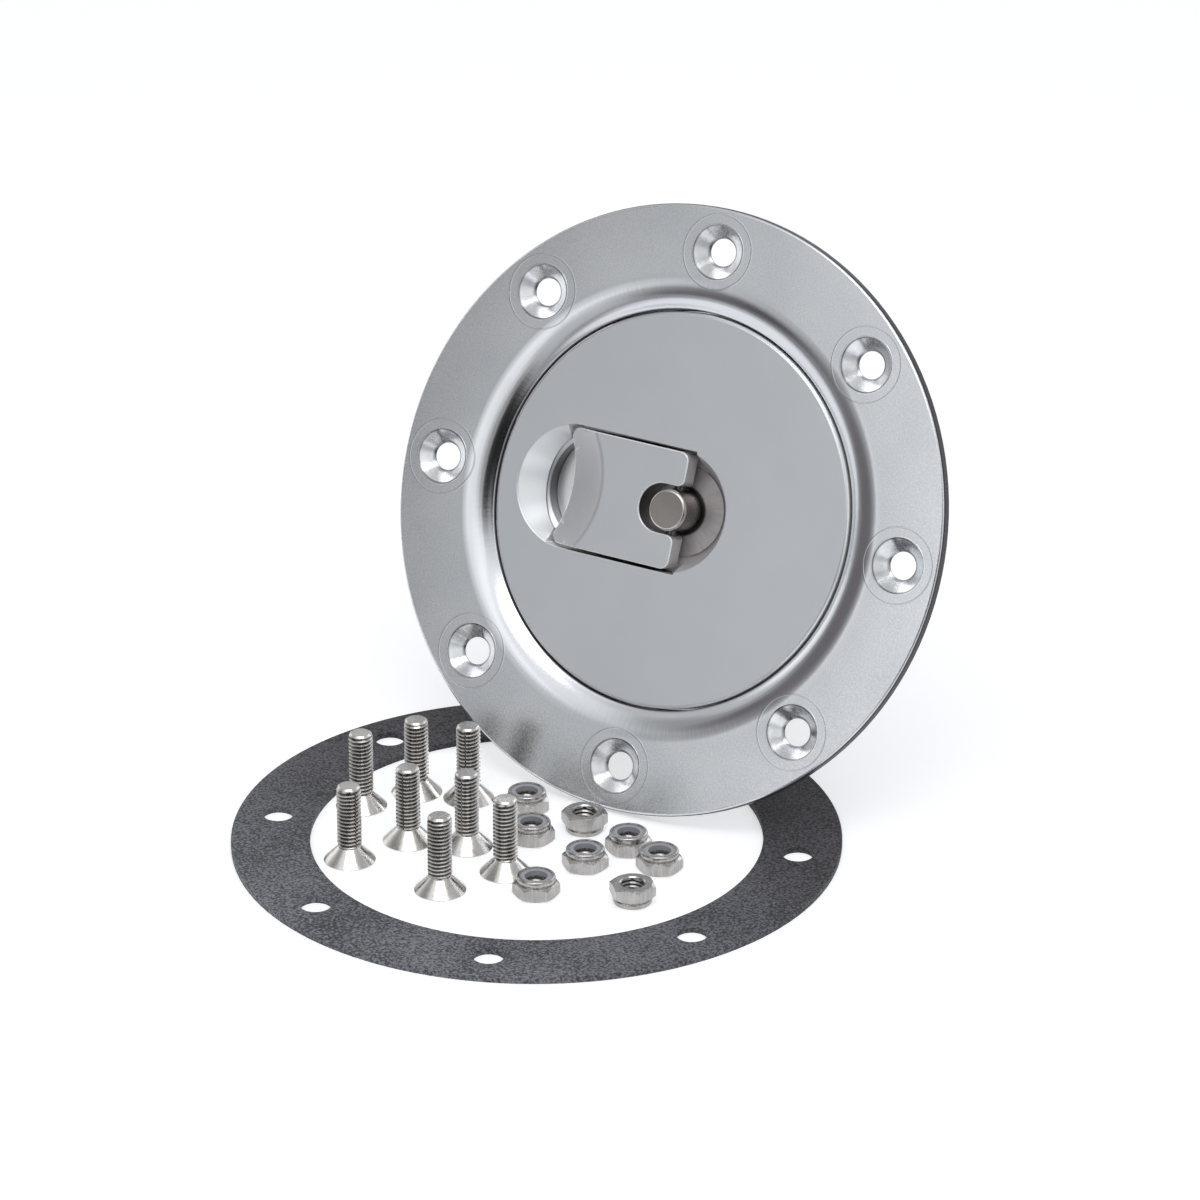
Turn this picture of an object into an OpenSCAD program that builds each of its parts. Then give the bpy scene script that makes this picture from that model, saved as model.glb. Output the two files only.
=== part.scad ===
// Flush filler cap with a lever-operated expanding plug, leaning back on its flange's rim as one set
// with its loose panel gasket, countersunk screws and lock nuts. Millimetres. The floor is z = 0 and
// the origin is the centre of the gasket's underside.

/* [Flange] */
// Outside radius of the flange
flange_r = 75; // [74:0.5:80]
// Thickness of the flange
flange_t = 3.4; // [3.2:0.1:4.4]
// Chamfer round the flange's face edge
rim_chamfer = 0.5; // [0.2:0.1:0.8]
// Fall of the domed face from the dish to the rim
rim_fall = 0.3; // [0:0.1:1]
// Chamfer round the flange's back edge
rim_back_chamfer = 0.3; // [0.1:0.1:0.6]
// Number of mounting holes
bolt_count = 8; // [6:1:12]
// Where the bolt circle lies between the dish and the rim: 0 is at the dish and 1 at the rim
bolt_share = 0.396; // [0.38:0.001:0.46]
// Radius of a mounting hole
bolt_hole_r = 3.4; // [3.2:0.1:3.6]
// Radius of a countersink at the face
countersink_r = 6.8; // [6.4:0.1:7]
// Width of the rounded lip from the lid's opening to the deepest ring of the dish
lip_w = 3.4; // [3:0.1:4]
// Width of the dish from its deepest ring to the flange's face
dish_w = 4.6; // [4:0.1:4.8]
// Depth of the dish where the lip starts
dish_depth = 0.9; // [0.7:0.1:1.1]
// Depth of the lip's edge, round the lid's opening
lip_depth = 2.5; // [2.3:0.1:2.8]

/* [Neck] */
// Depth of the lid's seat below the flange's face
seat_depth = 9.5; // [9:0.1:10]
// Width of the seat under the lid's edge
seat_w = 2.9; // [2.5:0.1:3.2]
// Wall of the hub behind the flange, round the lid's opening
hub_side = 2.8; // [2.2:0.1:3.2]
// Thickness of the disc at the neck's head, which is set in the hub's foot
ledge_t = 3; // [2.5:0.5:5]
// Outside radius of the hose neck
neck_r = 38.1; // [37.6:0.1:38.6]
// Wall of the neck
neck_wall = 3.1; // [2.8:0.1:3.3]
// Length of the neck beyond the disc
neck_len = 26; // [26:0.5:40]

/* [Lid] */
// Outside radius of the lid
lid_r = 48.7; // [48.2:0.1:49.4]
// Gap round the lid
lid_gap = 0.5; // [0.3:0.1:0.8]
// Depth of the lid's face below the flange's face
lid_drop = 2; // [1:0.1:3]
// Chamfer round the lid's face
lid_chamfer = 0.6; // [0.2:0.1:1]
// Thickness of the flat seal washer under the lid
seat_washer_t = 0.8; // [0.5:0.1:1.5]
// Material left under the finger pocket
pocket_floor_t = 2.1; // [1.5:0.1:3]
// Gap between the lid's boss and the neck's disc
ledge_gap = 0.5; // [0.3:0.1:1]
// Thickness of the plug body
plug_t = 5.5; // [5:0.5:6]
// Height of the spigots that centre the squeeze ring
spigot_h = 3; // [2:0.5:3.5]
// Thickness of the plug's O-ring cord
plug_cord = 2.3; // [1.8:0.1:2.8]

/* [Handle recess] */
// Gap between the handle's side and the recess
recess_side = 0.8; // [0.5:0.1:1.2]
// Distance from the spindle to the centre of the recess's finger end
recess_len = 27.7; // [27.4:0.1:29]
// Depth of the recess below the lid's face
recess_depth = 8.2; // [7.6:0.1:9]
// Radius of the flat floor round the spindle
recess_floor_r = 11.4; // [11:0.1:12]
// Half angle of the cone that the finger scoop is cut with
scoop_angle = 40; // [36:1:44]
// Radius of the finger pocket
pocket_r = 14.2; // [13:0.1:14.4]
// Distance from the spindle to the centre of the finger pocket
pocket_x = 23.7; // [23.4:0.1:24.4]
// Depth of the finger pocket below the lid's face
pocket_depth = 11.4; // [10:0.1:12.5]

/* [Handle] */
// Width of the handle
handle_w = 29.2; // [28.4:0.1:29.6]
// Length of the handle from the spindle's axis to its finger end
handle_len = 31.6; // [30:0.1:32]
// Length of the handle's nose beyond the spindle's axis
handle_nose = 2.5; // [2.3:0.1:3]
// Thickness of the handle at its finger lip, before the thumb scoop
lip_t = 4.6; // [4.4:0.1:4.8]
// Distance from the spindle's axis to where the underside starts to rise
lip_start = 9.5; // [8:0.5:12]
// Width of the slot round the spindle
slot_w = 12.2; // [11.8:0.1:12.8]
// Distance from the spindle's axis to the closed end of the slot
slot_len = 8.6; // [8.2:0.1:9.5]
// Corner radius at the finger end
finger_corner_r = 2.6; // [2.4:0.1:3.4]
// Corner radius at the nose
nose_corner_r = 2.3; // [1:0.1:2.4]
// Corner radius at the slot's mouth
slot_corner_r = 1.9; // [1:0.1:2.2]
// Depth of the hollow in the edge of the finger lip
lip_hollow = 2.5; // [1.2:0.1:3]
// Radius of that hollow
lip_hollow_r = 31; // [25:1:50]
// Radius of the spherical thumb scoop
thumb_ball_r = 75; // [65:1:90]
// Radius of the thumb scoop's outline on the top face
thumb_rim_r = 25; // [22:1:28]
// Distance from the spindle's axis to the thumb scoop's outline
thumb_start = 19; // [18:0.5:21]

/* [Spindle and seal] */
// Radius of the spindle
spindle_r = 5.15; // [5:0.05:5.3]
// Height of the spindle's tip above the lid's face
tip_rise = 1.4; // [0.5:0.1:2]
// Chamfer round the spindle's tip
tip_chamfer = 0.5; // [0.3:0.1:1]
// Radius of the cross pin
pin_r = 1.25; // [1:0.05:1.4]
// Depth of the cross pin's axis below the lid's face
pin_depth = 3.4; // [3.2:0.1:3.7]
// Thickness of the wear plate under the handle
wear_t = 0.8; // [0.6:0.1:1.2]
// Outside radius of the spindle bush
bush_r = 8; // [7:0.1:8.5]
// Length of the hub below the plug's face
hub_len = 4.5; // [3.5:0.5:5]
// Wall of the hub round the bush
hub_wall = 2; // [1.5:0.1:2.2]
// Height of the rubber squeeze ring
squeeze_t = 9.5; // [9:0.5:10]
// Inside radius of the rubber squeeze ring
squeeze_in_r = 24; // [23.5:0.5:25]
// Thickness of the pressure plate
plate_t = 4; // [3.5:0.5:5]
// Radius of the threaded stud at the foot of the spindle
stud_r = 4; // [3.5:0.1:4.2]
// Length of stud left beyond its nut
stud_end = 0.8; // [0.7:0.1:2]
// Thickness of the stud's washer
stud_washer_t = 1.6; // [1:0.1:2.5]
// Radius of the stud's washer
stud_washer_r = 8; // [8:0.1:10]
// Across flats of the stud's lock nut
stud_nut_af = 13; // [12.5:0.1:14]
// Height of the stud's lock nut
stud_nut_h = 8; // [7:0.1:9]
// Radius of the return spring's wire
wire_r = 0.8; // [0.5:0.1:0.9]
// Turns of the return spring
spring_turns = 4; // [3:1:5]
// Thickness of the spindle's O-ring cord
spindle_cord = 1.3; // [1:0.1:1.6]
// Radius of a guide pin
guide_r = 1.5; // [1.2:0.1:2]
// Distance of the guide pins from the spindle's axis
guide_circle_r = 18.5; // [17.5:0.5:19]

/* [Fasteners] */
// Thread radius of the flange screws
screw_r = 3; // [2.8:0.1:3.1]
// Length of a flange screw
screw_len = 20; // [16:1:30]
// Head radius of a flange screw
screw_head_r = 6.3; // [6:0.1:6.4]
// Height of the plain edge of a screw's head
screw_edge = 0.25; // [0.1:0.05:0.5]
// Across flats of the screws' hexagon socket
socket_af = 4; // [3:0.1:4.5]
// Depth of that socket
socket_h = 2.2; // [1.5:0.1:2.6]
// Across flats of a flange lock nut
nut_af = 10; // [9.5:0.1:10.5]
// Height of a flange lock nut
nut_h = 5.2; // [5:0.1:6.5]
// Thread radius of the plug's screws
plug_screw_r = 2; // [1.5:0.1:2.2]
// Length of a plug screw
plug_screw_len = 12; // [11:0.5:12]
// Distance of the plug's screws from the spindle's axis
plug_screw_circle_r = 18.5; // [18.5:0.1:19]

/* [Gasket] */
// How far the panel gasket's edge lies inside the flange's rim
gasket_inset = 0.6; // [0.2:0.1:1.4]
// Width of the panel gasket's ring
gasket_w = 19.2; // [18.4:0.1:19.8]
// Thickness of the panel gasket
gasket_t = 1.5; // [1:0.1:2]
// Radius of the gasket's holes
gasket_hole_r = 3.75; // [3.5:0.05:4]
// Turn of the loose gasket's holes on the floor
gasket_turn = 20.8; // [0:0.2:44]

/* [Layout] */
// How far the cap leans back from upright
lean_angle = 22.65; // [15:0.05:30]
// Place of the flange's face across the floor
cap_x = 7.2; // [5:0.1:9]
// Place of the flange's face along the floor
cap_y = 49.8; // [49:0.1:56]

/* [Fits] */
// Gap between pieces of one body that fit one inside the other
fit_gap = 0.03; // [0.01:0.01:0.05]
// Radial clearance of a piece that turns or slides in another
run_gap = 0.06; // [0.04:0.01:0.09]
// Gap between faces that close on each other
face_gap = 0.05; // [0.02:0.01:0.1]
// Radial gap of the rubber in the sealing bore
seal_gap = 0.08; // [0.05:0.01:0.1]

/* [Hidden] */

$fn = 96;

// Heights along the cap's axis: 0 is the flange's face and positive is outwards
z_lid = -lid_drop;
z_seat = -seat_depth;
z_lid_under = z_seat + face_gap + seat_washer_t;
z_floor = z_lid - recess_depth;
z_wear = z_floor + wear_t;
z_pocket = z_lid - pocket_depth;
z_plug_top = z_pocket - pocket_floor_t;
z_ledge = z_plug_top - ledge_gap;
z_ledge_under = z_ledge - ledge_t;
z_neck_end = z_ledge_under - neck_len;
z_plug = z_plug_top - plug_t;
z_plate = z_plug - squeeze_t;
z_plate_under = z_plate - plate_t;
z_hub = z_plug - hub_len;
z_pin = z_lid - pin_depth;
z_tip = z_lid + tip_rise;
z_nut = z_plate_under - stud_washer_t;
z_stud_end = z_nut - stud_nut_h - stud_end;

// Radii that follow from the driving ones
mouth_r = lid_r + lid_gap;
dish_foot_r = mouth_r + lip_w;
dish_r = dish_foot_r + dish_w;
bolt_circle_r = dish_r + bolt_share * (flange_r - dish_r);
gasket_r = flange_r - gasket_inset;
gasket_in_r = gasket_r - gasket_w;
bore_r = mouth_r - seat_w;
hub_out_r = mouth_r + hub_side;
hub_foot_r = bore_r + 3.2;
lid_boss_r = bore_r - 0.7;
recess_w = handle_w + 2 * recess_side;
seal_bore_r = neck_r - neck_wall;
plug_r = seal_bore_r - 0.4;
plate_r = seal_bore_r - 0.5;
squeeze_r = seal_bore_r - seal_gap;
spigot_r = squeeze_in_r - 0.15;
hub_r = bush_r + hub_wall;
spring_pocket_r = hub_r + 3.2;
spring_r = (hub_r + spring_pocket_r) / 2;
wear_r = recess_floor_r - 0.2;
wear_hole_r = spindle_r + 0.15;

// Depth of the domed face at the bolt circle
sink_z = -rim_fall * pow((bolt_circle_r - dish_r) / (flange_r - rim_chamfer - dish_r), 2);

// The handle's cam: it holds the pin at cam_high above the wear plate when it lies flat and lets it
// down to cam_low as it stands up, by the same amount for each degree
cam_high = z_pin - z_wear - face_gap;
cam_low = handle_nose;
cam_rate = (cam_high - cam_low) / 90;

// The cap stands on the back edge of its rim
rim_back_z = flange_t - rim_back_chamfer;
cap_z = flange_r * cos(lean_angle) + rim_back_z * sin(lean_angle);

// The loose fasteners' places are for a gasket of this inside radius and follow it
spread = gasket_in_r / 55.2;
// Where the screws stand on their heads, inside the gasket
screw_spots = [[-46.6, -6], [-38.8, 7.2], [-26, 10.8], [-33.6, -32], [-26.7, -16.2], [-12.8, -11.5],
    [-6.4, -34.4], [2.4, -18.6]];
// Where the lock nuts lie: place, turn, and 1 for the ones that lie upside down
nut_spots = [[-10.7, 13.2, 10, 0], [-1.2, -0.4, 22, 0], [7.3, 10.6, 22, 1], [22, 6.7, 28, 0],
    [17.4, -6.2, 20, 0], [33.4, 2, 26, 0], [14.6, -24.6, 30, 0], [36.6, -16.4, 16, 1]];

steel = [0.78, 0.77, 0.75];
satin = [0.74, 0.75, 0.77];
lid_grey = [0.66, 0.68, 0.7];
rubber = [0.12, 0.12, 0.13];
bronze = [0.72, 0.55, 0.32];
nylon = [0.6, 0.65, 0.72];

// Puts a piece that is built along the cap's axis where the leaning cap stands
module leaning() {
    translate([cap_x, cap_y, cap_z])
        rotate([90 - lean_angle, 0, 0])
            children();
}

// A plain ring between two heights
module ring(outer, inner, low, high) {
    rotate_extrude()
        translate([inner, low])
            square([outer - inner, high - low]);
}

// An O-ring whose outer edge reaches a given radius
module o_ring(outer, cord, height) {
    rotate_extrude()
        translate([outer - cord / 2, height])
            circle(d = cord, $fn = 32);
}

// Children repeated round the axis
module around(count, radius, start = 0) {
    for (i = [0 : count - 1])
        rotate(start + i * 360 / count)
            translate([radius, 0, 0])
                children();
}

// A countersunk screw standing on its head, with a hexagon socket
module screw(r, len, head_r, edge, af, depth) {
    difference() {
        rotate_extrude()
            polygon([[0, 0], [head_r, 0], [head_r, edge], [r, edge + head_r - r], [r, len - 0.5],
                [r - 0.5, len], [0, len]]);
        translate([0, 0, -1])
            cylinder(d = af / cos(30), h = depth + 1, $fn = 6);
    }
}

// A lock nut on its flat face: a chamfered hexagon under a rolled collar with a seat for the insert
module lock_nut(af, height, bore) {
    hex_h = height * 0.66;
    corner_r = af / 2 / cos(30);
    collar_r = af * 0.47;
    difference() {
        union() {
            intersection() {
                cylinder(r = corner_r, h = hex_h, $fn = 6);
                rotate_extrude()
                    polygon([[0, 0], [corner_r * 0.95, 0], [corner_r * 1.02, af * 0.035],
                        [corner_r * 1.02, hex_h - af * 0.06], [af * 0.47, hex_h], [0, hex_h]]);
            }
            rotate_extrude()
                polygon([[0, hex_h - 0.1], [collar_r * 0.94, hex_h - 0.1],
                    [collar_r * 0.94, hex_h + height * 0.07], [collar_r, hex_h + height * 0.12],
                    [collar_r, height * 0.92], [collar_r * 0.96, height * 0.98], [collar_r * 0.9, height],
                    [0, height]]);
        }
        translate([0, 0, -1])
            cylinder(r = bore, h = height + 2);
        translate([0, 0, hex_h - height * 0.02])
            cylinder(r = insert_r(af) + fit_gap, h = height);
        translate([0, 0, -0.01])
            cylinder(r1 = bore * 1.12, r2 = bore, h = bore * 0.12);
    }
}

// Outside radius of a lock nut's insert
function insert_r(af) = af * 0.385;

// The nylon ring in a lock nut's collar
module lock_insert(af, height, bore) {
    hex_h = height * 0.66;
    ring(insert_r(af), bore, hex_h - height * 0.02, height * 0.93);
}

// Flange with its domed face, countersunk holes, seat and the hub that the neck is set in. Round the
// lid's opening the face rolls over more and more steeply, through the dish and the lip
module flange_ring() {
    steps = 12;
    few = 6;
    lip_r = mouth_r + 0.5;
    lip_fall = 2 * dish_depth / dish_w * (dish_foot_r - lip_r);
    dome = [for (i = [0 : few - 1]) let (t = 1 - i / few)
        [dish_r + t * (flange_r - rim_chamfer - dish_r), -rim_fall * t * t]];
    dish = [for (i = [0 : steps]) let (t = i / steps)
        [dish_r - t * (dish_r - dish_foot_r), -dish_depth * t * t]];
    lip = [for (i = [1 : few]) let (t = i / few)
        [dish_foot_r - t * (dish_foot_r - lip_r),
            -dish_depth - lip_fall * t - (lip_depth - dish_depth - lip_fall) * t * t]];
    color(satin) leaning() difference() {
        rotate_extrude($fn = 160)
            polygon(concat(dome, dish, lip,
                [[mouth_r + 0.15, -lip_depth - 0.15], [mouth_r, -lip_depth - 0.5], [mouth_r, z_seat],
                [bore_r, z_seat], [bore_r, z_ledge_under], [hub_foot_r - 0.5, z_ledge_under],
                [hub_foot_r, z_ledge_under + 0.5], [hub_foot_r, z_seat - 3.5], [hub_out_r, z_seat - 2.5],
                [hub_out_r, -flange_t - 1], [hub_out_r + 1, -flange_t],
                [flange_r - rim_back_chamfer, -flange_t], [flange_r, -rim_back_z],
                [flange_r, -rim_chamfer - rim_fall]]));
        around(bolt_count, bolt_circle_r, 90) {
            sink = countersink_r - bolt_hole_r;
            low = sink_z - min(sink, flange_t + sink_z - 0.3);
            translate([0, 0, -flange_t - 1])
                cylinder(r = bolt_hole_r, h = flange_t + 2);
            translate([0, 0, low])
                cylinder(r1 = bolt_hole_r + sink - (sink_z - low), r2 = countersink_r + 1,
                    h = sink_z - low + 1);
        }
    }
}

// Hose neck: a disc set in the hub's foot and a tube, whose bore the plug seals in
module neck_tube() {
    disc_r = bore_r - fit_gap;
    color(satin) leaning() rotate_extrude()
        polygon([[seal_bore_r + 0.3, z_ledge], [disc_r, z_ledge], [disc_r, z_ledge_under],
            [neck_r, z_ledge_under], [neck_r, z_neck_end + 0.5], [neck_r - 0.5, z_neck_end],
            [seal_bore_r + 0.5, z_neck_end], [seal_bore_r, z_neck_end + 0.5],
            [seal_bore_r, z_ledge - 0.3]]);
}

// Loose panel gasket, flat on the floor
module panel_gasket() {
    color(rubber) difference() {
        ring(gasket_r, gasket_in_r, 0, gasket_t);
        around(bolt_count, bolt_circle_r, gasket_turn)
            translate([0, 0, -1])
                cylinder(r = gasket_hole_r, h = gasket_t + 2);
    }
}

// Countersunk screws, standing on their heads
module flange_screws() {
    color(steel) for (spot = screw_spots)
        translate(spot * spread)
            screw(screw_r, screw_len, screw_head_r, screw_edge, socket_af, socket_h);
}

// Turns a loose nut's pieces as that nut lies
module as_it_lies(spot) {
    translate([spot[0] * spread, spot[1] * spread, spot[3] * nut_h])
        rotate([spot[3] * 180, 0, spot[2]])
            children();
}

// Lock nuts, most with their collars up
module lock_nuts() {
    color(steel) for (spot = nut_spots)
        as_it_lies(spot)
            lock_nut(nut_af, nut_h, screw_r * 0.86);
}

// Nylon rings of the loose lock nuts
module nut_inserts() {
    color(nylon) for (spot = nut_spots)
        as_it_lies(spot)
            lock_insert(nut_af, nut_h, screw_r * 0.93);
}

// The space that the handle lies in, with the round floor, the finger scoop and the deeper pocket
module recess() {
    half_w = recess_w / 2;
    slope = (half_w - recess_floor_r) / recess_depth;
    scoop_slope = tan(scoop_angle);
    over = 1;
    translate([0, 0, z_floor])
        cylinder(r1 = recess_floor_r, r2 = half_w + slope * over, h = recess_depth + over);
    translate([-recess_len, -half_w, z_floor])
        cube([recess_len + cam_high + 0.4, recess_w, recess_depth + over]);
    intersection() {
        translate([-recess_len, 0, z_floor])
            cylinder(r = half_w, h = recess_depth + over);
        translate([-handle_len - 0.6, -half_w, z_floor])
            cube([handle_len, recess_w, recess_depth + over]);
    }
    translate([-recess_len, 0, z_floor])
        cylinder(r1 = half_w - scoop_slope * recess_depth, r2 = half_w + scoop_slope * over,
            h = recess_depth + over);
    translate([-pocket_x, 0, z_pocket])
        cylinder(r = pocket_r, h = pocket_depth);
}

// Lid with the handle's recess, fixed on the plug body
module lid_plate() {
    color(lid_grey) leaning() difference() {
        rotate_extrude($fn = 160)
            polygon([[0, z_lid], [lid_r - lid_chamfer, z_lid], [lid_r, z_lid - lid_chamfer],
                [lid_r, z_lid_under], [lid_boss_r, z_lid_under], [lid_boss_r, z_plug_top + 0.5],
                [lid_boss_r - 0.5, z_plug_top], [0, z_plug_top]]);
        recess();
        translate([0, 0, z_plug_top - 1])
            cylinder(r = bush_r + fit_gap, h = z_floor - z_plug_top + 2);
        around(4, plug_screw_circle_r, 45)
            translate([0, 0, z_plug_top - 1])
                cylinder(r = plug_screw_r + fit_gap, h = plug_screw_len - plug_t - spigot_h + 1.5);
    }
}

// Flat rubber washer between the lid and its seat
module seat_washer() {
    color(rubber) leaning()
        ring(lid_r - 0.2, bore_r + 0.15, z_lid_under - seat_washer_t, z_lid_under);
}

// Plug body: carries the bush, the O-ring and the guide pins, and backs the squeeze ring
module plug_body() {
    groove_r = plug_r - plug_cord * 0.93;
    groove_z = z_plug + plug_t / 2;
    groove_w = plug_cord * 1.1;
    bottom = z_plug - spigot_h;
    color(satin) leaning() difference() {
        rotate_extrude()
            polygon([[0, z_plug_top], [plug_r - 0.5, z_plug_top], [plug_r, z_plug_top - 0.5],
                [plug_r, groove_z + groove_w / 2], [groove_r, groove_z + groove_w / 2],
                [groove_r, groove_z - groove_w / 2], [plug_r, groove_z - groove_w / 2],
                [plug_r, z_plug], [spigot_r, z_plug], [spigot_r, bottom + 0.5], [spigot_r - 0.5, bottom],
                [spring_pocket_r, bottom], [spring_pocket_r, z_plug], [hub_r, z_plug], [hub_r, z_hub],
                [0, z_hub]]);
        translate([0, 0, z_hub - 1])
            cylinder(r = bush_r + fit_gap, h = z_plug_top - z_hub + 2);
        around(4, plug_screw_circle_r, 45) {
            translate([0, 0, bottom - 1])
                cylinder(r = plug_screw_r + 0.2, h = plug_t + spigot_h + 2);
            translate([0, 0, bottom - 1])
                cylinder(r1 = plug_screw_r * 2 + 1 + fit_gap, r2 = plug_screw_r + fit_gap,
                    h = plug_screw_r + 1);
        }
        around(2, guide_circle_r)
            translate([0, 0, bottom - 1])
                cylinder(r = guide_r + fit_gap, h = spigot_h + plug_t * 0.75 + 1);
    }
}

// Screws that hold the plug body under the lid
module plug_screws() {
    color(steel) leaning() around(4, plug_screw_circle_r, 45)
        translate([0, 0, z_plug - spigot_h])
            screw(plug_screw_r, plug_screw_len, plug_screw_r * 2 - 0.05, 0.05, plug_screw_r * 1.25,
                plug_screw_r * 0.7);
}

// O-ring in the plug body's groove
module plug_oring() {
    color(rubber) leaning()
        o_ring(seal_bore_r - seal_gap, plug_cord, z_plug + plug_t / 2);
}

// Rubber ring that the pressure plate squeezes out against the sealing bore
module squeeze_ring() {
    round_off = 0.8;
    color(rubber) leaning() rotate_extrude()
        polygon([[squeeze_in_r, z_plate + face_gap], [squeeze_r - round_off, z_plate + face_gap],
            [squeeze_r, z_plate + round_off], [squeeze_r, z_plug - round_off],
            [squeeze_r - round_off, z_plug], [squeeze_in_r, z_plug]]);
}

// Hard plate on the recess's floor, which the handle's cam bears on
module wear_plate() {
    color(steel) leaning()
        ring(wear_r, wear_hole_r, z_floor, z_wear);
}

// Bronze bush that guides the spindle
module spindle_bush() {
    color(bronze) leaning()
        ring(bush_r, spindle_r + run_gap, z_hub, z_floor);
}

// Pins that stop the pressure plate from turning
module guide_pins() {
    low = z_plate_under + 0.5;
    color(steel) leaning() around(2, guide_circle_r)
        translate([0, 0, low])
            cylinder(r = guide_r, h = z_plug + plug_t * 0.7 - low);
}

// Coil spring that pushes the pressure plate down when the handle stands up
module return_spring() {
    per_turn = 20;
    sides = 8;
    count = spring_turns * per_turn;
    top = z_plug - wire_r - face_gap;
    bottom = z_plate + wire_r + face_gap;
    pts = [for (i = [0 : count], j = [0 : sides - 1])
        let (a = i * 360 / per_turn, b = j * 360 / sides, r = spring_r + wire_r * cos(b))
        [r * cos(a), r * sin(a), bottom + (top - bottom) * i / count + wire_r * sin(b)]];
    walls = [for (i = [0 : count - 1], j = [0 : sides - 1]) let (k = (j + 1) % sides)
        [i * sides + j, i * sides + k, (i + 1) * sides + k, (i + 1) * sides + j]];
    start = [for (j = [sides - 1 : -1 : 0]) j];
    end = [for (j = [0 : sides - 1]) count * sides + j];
    color(steel) leaning()
        polyhedron(pts, concat([start], walls, [end]));
}

// Steel spindle: tip, shaft with an O-ring groove, shoulder and threaded stud
module spindle() {
    groove_r = spindle_r - spindle_cord - 0.02;
    groove_z = (z_floor + z_hub) / 2;
    groove_w = spindle_cord * 1.15;
    color(steel) leaning() difference() {
        rotate_extrude()
            polygon([[0, z_tip], [spindle_r - tip_chamfer, z_tip], [spindle_r, z_tip - tip_chamfer],
                [spindle_r, groove_z + groove_w / 2], [groove_r, groove_z + groove_w / 2],
                [groove_r, groove_z - groove_w / 2], [spindle_r, groove_z - groove_w / 2],
                [spindle_r, z_plate], [stud_r, z_plate], [stud_r, z_stud_end + 0.6],
                [stud_r - 0.6, z_stud_end], [0, z_stud_end]]);
        translate([0, 0, z_pin])
            rotate([90, 0, 0])
                cylinder(r = pin_r + fit_gap / 2, h = 4 * spindle_r, center = true);
    }
}

// O-ring round the spindle
module spindle_oring() {
    color(rubber) leaning()
        o_ring(spindle_r, spindle_cord, (z_floor + z_hub) / 2);
}

// Cross pin that the handle turns on
module cross_pin() {
    color(steel) leaning() translate([0, 0, z_pin])
        rotate([90, 0, 0])
            cylinder(r = pin_r, h = handle_w - 0.8, center = true);
}

// Plate at the foot of the spindle that squeezes the rubber ring
module pressure_plate() {
    top = z_plate + spigot_h;
    color(satin) leaning() difference() {
        rotate_extrude()
            polygon([[0, z_plate], [spring_pocket_r, z_plate], [spring_pocket_r, top],
                [spigot_r - 0.5, top], [spigot_r, top - 0.5], [spigot_r, z_plate], [plate_r, z_plate],
                [plate_r, z_plate_under + 1], [plate_r - 1, z_plate_under], [0, z_plate_under]]);
        translate([0, 0, z_plate_under - 1])
            cylinder(r = stud_r + fit_gap, h = plate_t + 2);
        around(2, guide_circle_r)
            translate([0, 0, z_plate_under - 1])
                cylinder(r = guide_r + run_gap, h = plate_t + spigot_h + 2);
        around(4, plug_screw_circle_r, 45)
            translate([0, 0, z_plate_under - 1])
                cylinder(r = plug_screw_r + 1, h = plate_t + spigot_h + 2);
    }
}

// Washer under the stud's nut
module stud_washer() {
    color(steel) leaning()
        ring(stud_washer_r, stud_r + fit_gap, z_nut, z_plate_under);
}

// Turns a nut to face down the spindle's stud
module on_stud() {
    leaning() translate([0, 0, z_nut])
        rotate([180, 0, 0])
            children();
}

// Lock nut that holds the pressure plate on the stud
module stud_nut() {
    color(steel) on_stud()
        lock_nut(stud_nut_af, stud_nut_h, stud_r + fit_gap);
}

// Nylon ring of that nut
module stud_nut_insert() {
    color(nylon) on_stud()
        lock_insert(stud_nut_af, stud_nut_h, stud_r + fit_gap);
}

// The cam's edge at a given lift, from the pin: the point where the handle bears on the wear plate
function cam_point(lift) = let (reach = cam_high - cam_rate * lift, slip = cam_rate * 180 / PI)
    [reach * sin(lift) - slip * cos(lift), z_pin - reach * cos(lift) - slip * sin(lift)];

// A corner piece: what lies outside a round corner at the origin, towards +x and +y
module outside_corner(r) {
    difference() {
        translate([-r, -r])
            square(r + 1);
        translate([-r, -r])
            circle(r = r, $fn = 48);
    }
}

// Handle outline from above, with the slot round the spindle
module handle_outline() {
    half_w = handle_w / 2;
    slot_r = slot_w / 2;
    difference() {
        translate([-handle_len, -half_w])
            square([handle_len + handle_nose, handle_w]);
        translate([slot_r - slot_len, 0])
            circle(r = slot_r);
        translate([slot_r - slot_len, -slot_r])
            square([slot_len + handle_nose + 1, slot_w]);
        translate([lip_hollow - handle_len - lip_hollow_r, 0])
            circle(r = lip_hollow_r);
        for (side = [-1, 1]) {
            translate([handle_nose, side * half_w])
                scale([1, side])
                    outside_corner(nose_corner_r);
            translate([handle_nose, side * slot_r])
                scale([1, -side])
                    outside_corner(slot_corner_r);
            translate([-handle_len, side * half_w])
                scale([-1, side])
                    outside_corner(finger_corner_r);
        }
    }
}

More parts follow.
